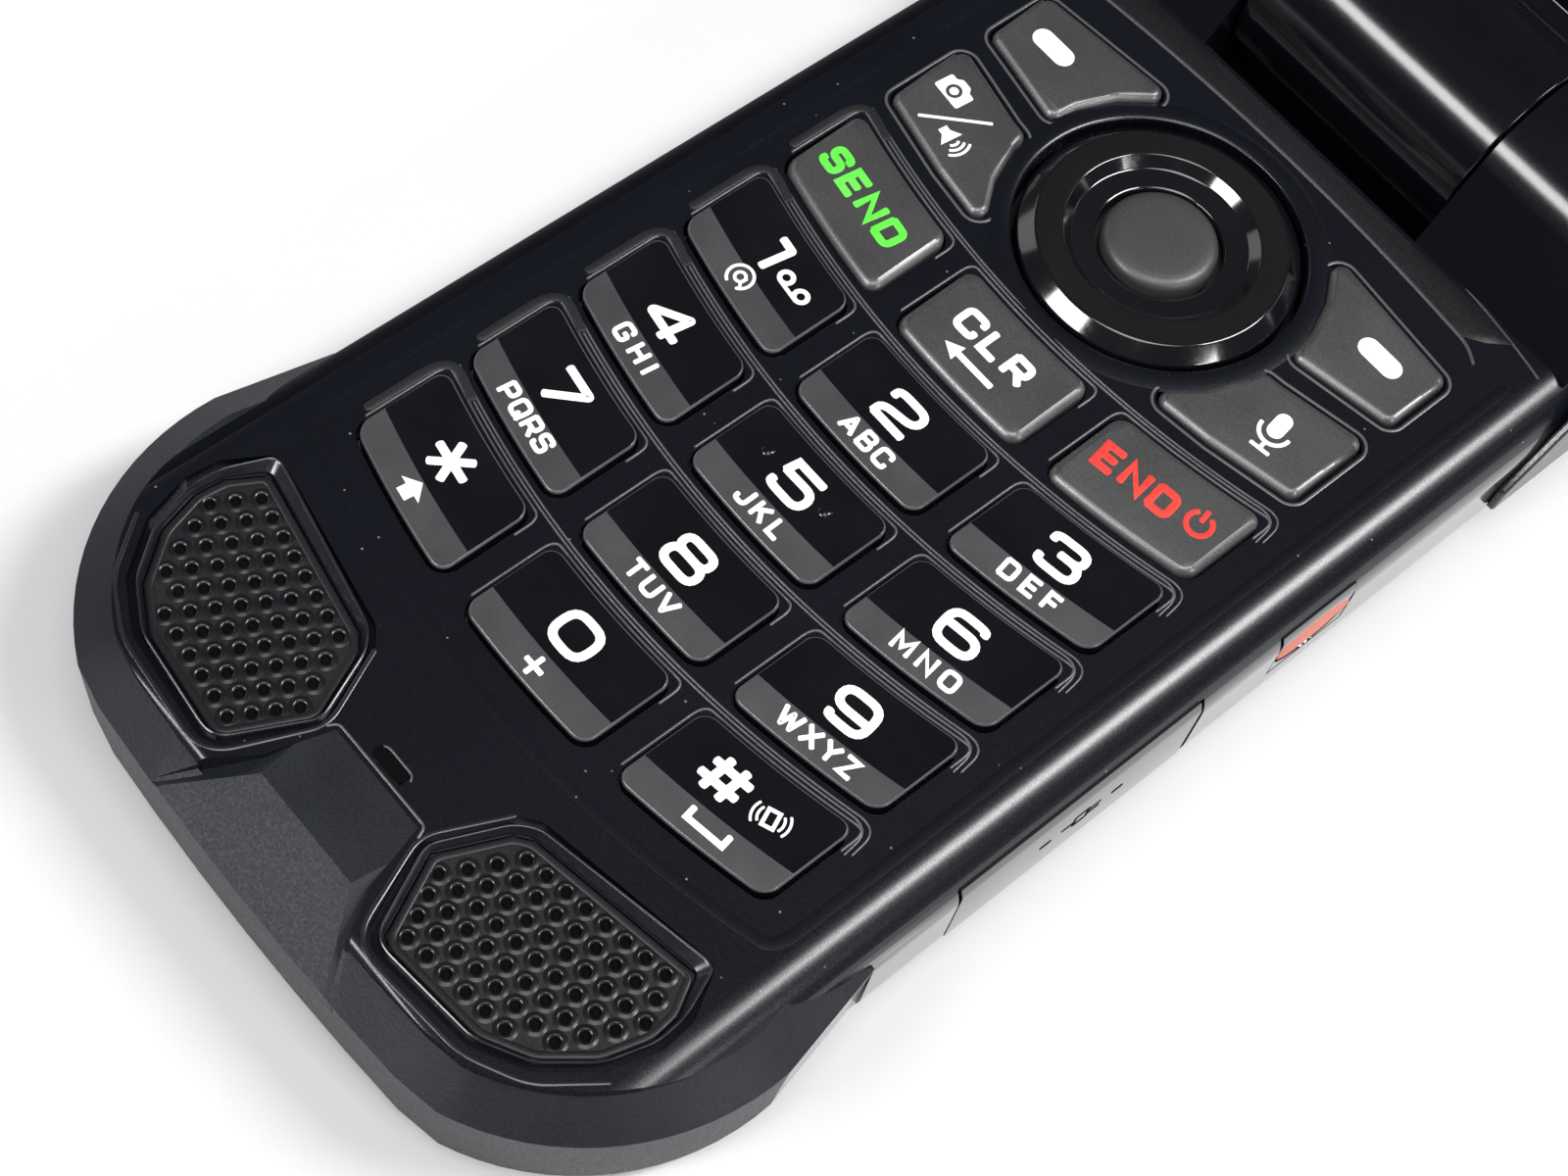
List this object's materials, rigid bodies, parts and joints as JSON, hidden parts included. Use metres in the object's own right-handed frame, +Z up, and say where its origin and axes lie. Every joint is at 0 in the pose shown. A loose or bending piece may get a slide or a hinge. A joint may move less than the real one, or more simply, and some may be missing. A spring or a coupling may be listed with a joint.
{
  "type": "rugged clamshell mobile phone",
  "caption": "Rugged clamshell phone lying open on its back, with a curved keypad, round navigation key, two loudspeaker grilles and a rubber bumper; its lid folds shut.",
  "frame": {"origin": "middle of the flat back of the base, which lies on the table", "axes": "+Z up out of the keypad, +Y from the keypad towards the hinge, +X towards the side with the orange button"},
  "size_m": [0.0626, 0.2017, 0.0471],
  "materials": {
    "housing": "satin, very dark navy black",
    "rear": "fine matt texture",
    "bumper": "fine grained rubber",
    "grille": "satin",
    "number_key": "glossy with a satin grey lower band",
    "function_key": "satin metallic grey",
    "nav_ring": "polished",
    "orange": "satin",
    "control": "satin",
    "hinge_metal": "machined",
    "bronze": "sintered",
    "board": "solder mask",
    "component": "moulded",
    "contact_metal": "stamped",
    "membrane": "silicone",
    "battery": "sleeved",
    "seal": "moulded",
    "lens": "polished, dark edged",
    "display": "unlit panel",
    "flash": "clear moulded",
    "flex": "polyimide film"
  },
  "bodies": {
    "base": {"front_housing": "housing", "rear_housing": "rear", "bottom_bumper": "bumper", "speaker_grilles": "grille", "loudspeakers": "component", "keypad_membrane": "membrane", "dome_switches": "contact_metal", "main_board": "board", "battery": "battery", "battery_cover": "rear", "cover_seal": "seal", "usb_connector": "contact_metal", "microphone": "contact_metal", "vibration_motor": "contact_metal", "hinge_caps": "control", "hinge_cartridge": "hinge_metal", "hinge_bush": "bronze", "housing_screws": "hinge_metal"},
    "lid": {"lid_inner_shell": "housing", "lid_outer_shell": "housing", "lid_bumper": "bumper", "display_lens": "lens", "main_display": "display", "outer_lens": "lens", "outer_display": "display", "camera_module": "component", "camera_lens": "nav_ring", "flash_lens": "flash", "earpiece": "component", "earpiece_mesh": "contact_metal", "lid_board": "board", "lid_pads": "bumper", "hinge_shafts": "hinge_metal", "hinge_flex": "flex"},
    "key_0": {"key_0": "number_key"},
    "key_1": {"key_1": "number_key"},
    "key_2": {"key_2": "number_key"},
    "key_3": {"key_3": "number_key"},
    "key_4": {"key_4": "number_key"},
    "key_5": {"key_5": "number_key"},
    "key_6": {"key_6": "number_key"},
    "key_7": {"key_7": "number_key"},
    "key_8": {"key_8": "number_key"},
    "key_9": {"key_9": "number_key"},
    "key_star": {"key_star": "number_key"},
    "key_hash": {"key_hash": "number_key"},
    "send_key": {"send_key": "function_key"},
    "clear_key": {"clear_key": "function_key"},
    "end_key": {"end_key": "function_key"},
    "soft_key_left": {"soft_key_left": "function_key"},
    "soft_key_right": {"soft_key_right": "function_key"},
    "speaker_key": {"speaker_key": "function_key"},
    "voice_key": {"voice_key": "function_key"},
    "ok_button": {"ok_button": "function_key"},
    "nav_plate": {"nav_plate": "contact_metal"},
    "nav_ring": {"nav_ring": "nav_ring"},
    "sos_button": {"sos_button": "orange"},
    "volume_rocker": {"volume_rocker": "control"},
    "port_cover": {"port_cover": "control"},
    "cover_latch": {"cover_latch": "control"}
  },
  "joints": [
    {"name": "lid_hinge", "type": "hinge", "parent": "base", "child": "lid", "pos_m": [0, 0.052, 0.0147], "axis": [1, 0, 0], "range_deg": [0, 160]},
    {"name": "key_0_press", "type": "slide", "parent": "base", "child": "key_0", "axis": [0, 0, -1], "range_m": [0, 0.0004], "stiffness_N_per_m": 800, "springref_m": -0.0002},
    {"name": "key_1_press", "type": "slide", "parent": "base", "child": "key_1", "axis": [0, 0, -1], "range_m": [0, 0.0004], "stiffness_N_per_m": 800, "springref_m": -0.0002},
    {"name": "key_2_press", "type": "slide", "parent": "base", "child": "key_2", "axis": [0, 0, -1], "range_m": [0, 0.0004], "stiffness_N_per_m": 800, "springref_m": -0.0002},
    {"name": "key_3_press", "type": "slide", "parent": "base", "child": "key_3", "axis": [0, 0, -1], "range_m": [0, 0.0004], "stiffness_N_per_m": 800, "springref_m": -0.0002},
    {"name": "key_4_press", "type": "slide", "parent": "base", "child": "key_4", "axis": [0, 0, -1], "range_m": [0, 0.0004], "stiffness_N_per_m": 800, "springref_m": -0.0002},
    {"name": "key_5_press", "type": "slide", "parent": "base", "child": "key_5", "axis": [0, 0, -1], "range_m": [0, 0.0004], "stiffness_N_per_m": 800, "springref_m": -0.0002},
    {"name": "key_6_press", "type": "slide", "parent": "base", "child": "key_6", "axis": [0, 0, -1], "range_m": [0, 0.0004], "stiffness_N_per_m": 800, "springref_m": -0.0002},
    {"name": "key_7_press", "type": "slide", "parent": "base", "child": "key_7", "axis": [0, 0, -1], "range_m": [0, 0.0004], "stiffness_N_per_m": 800, "springref_m": -0.0002},
    {"name": "key_8_press", "type": "slide", "parent": "base", "child": "key_8", "axis": [0, 0, -1], "range_m": [0, 0.0004], "stiffness_N_per_m": 800, "springref_m": -0.0002},
    {"name": "key_9_press", "type": "slide", "parent": "base", "child": "key_9", "axis": [0, 0, -1], "range_m": [0, 0.0004], "stiffness_N_per_m": 800, "springref_m": -0.0002},
    {"name": "key_star_press", "type": "slide", "parent": "base", "child": "key_star", "axis": [0, 0, -1], "range_m": [0, 0.0004], "stiffness_N_per_m": 800, "springref_m": -0.0002},
    {"name": "key_hash_press", "type": "slide", "parent": "base", "child": "key_hash", "axis": [0, 0, -1], "range_m": [0, 0.0004], "stiffness_N_per_m": 800, "springref_m": -0.0002},
    {"name": "send_key_press", "type": "slide", "parent": "base", "child": "send_key", "axis": [0, 0, -1], "range_m": [0, 0.0004], "stiffness_N_per_m": 800, "springref_m": -0.0002},
    {"name": "clear_key_press", "type": "slide", "parent": "base", "child": "clear_key", "axis": [0, 0, -1], "range_m": [0, 0.0004], "stiffness_N_per_m": 800, "springref_m": -0.0002},
    {"name": "end_key_press", "type": "slide", "parent": "base", "child": "end_key", "axis": [0, 0, -1], "range_m": [0, 0.0004], "stiffness_N_per_m": 800, "springref_m": -0.0002},
    {"name": "soft_key_left_press", "type": "slide", "parent": "base", "child": "soft_key_left", "axis": [0, 0, -1], "range_m": [0, 0.0004], "stiffness_N_per_m": 800, "springref_m": -0.0002},
    {"name": "soft_key_right_press", "type": "slide", "parent": "base", "child": "soft_key_right", "axis": [0, 0, -1], "range_m": [0, 0.0004], "stiffness_N_per_m": 800, "springref_m": -0.0002},
    {"name": "speaker_key_press", "type": "slide", "parent": "base", "child": "speaker_key", "axis": [0, 0, -1], "range_m": [0, 0.0004], "stiffness_N_per_m": 800, "springref_m": -0.0002},
    {"name": "voice_key_press", "type": "slide", "parent": "base", "child": "voice_key", "axis": [0, 0, -1], "range_m": [0, 0.0004], "stiffness_N_per_m": 800, "springref_m": -0.0002},
    {"name": "ok_button_press", "type": "slide", "parent": "base", "child": "ok_button", "axis": [0, 0, -1], "range_m": [0, 0.0004], "stiffness_N_per_m": 800, "springref_m": -0.0002},
    {"name": "nav_left_right", "type": "hinge", "parent": "base", "child": "nav_plate", "pos_m": [0, 0.024, 0.0095], "axis": [0, 1, 0], "range_deg": [-2, 2], "stiffness_Nm_per_rad": 0.15},
    {"name": "nav_up_down", "type": "hinge", "parent": "nav_plate", "child": "nav_ring", "pos_m": [0, 0.024, 0.0095], "axis": [1, 0, 0], "range_deg": [-2, 2], "stiffness_Nm_per_rad": 0.15},
    {"name": "sos_button_press", "type": "slide", "parent": "base", "child": "sos_button", "axis": [-1, 0, 0], "range_m": [0, 0.0005], "stiffness_N_per_m": 800, "springref_m": -0.0002},
    {"name": "volume_rock", "type": "hinge", "parent": "base", "child": "volume_rocker", "pos_m": [-0.0279, 0.008, 0.0071], "axis": [0, 0, 1], "range_deg": [-2, 2], "stiffness_Nm_per_rad": 0.05},
    {"name": "port_cover_hinge", "type": "hinge", "parent": "base", "child": "port_cover", "pos_m": [0.02955, -0.0226, 0.0069], "axis": [0, 0, -1], "range_deg": [0, 110]},
    {"name": "cover_latch_slide", "type": "slide", "parent": "base", "child": "cover_latch", "axis": [0, 1, 0], "range_m": [0, 0.002]}
  ]
}
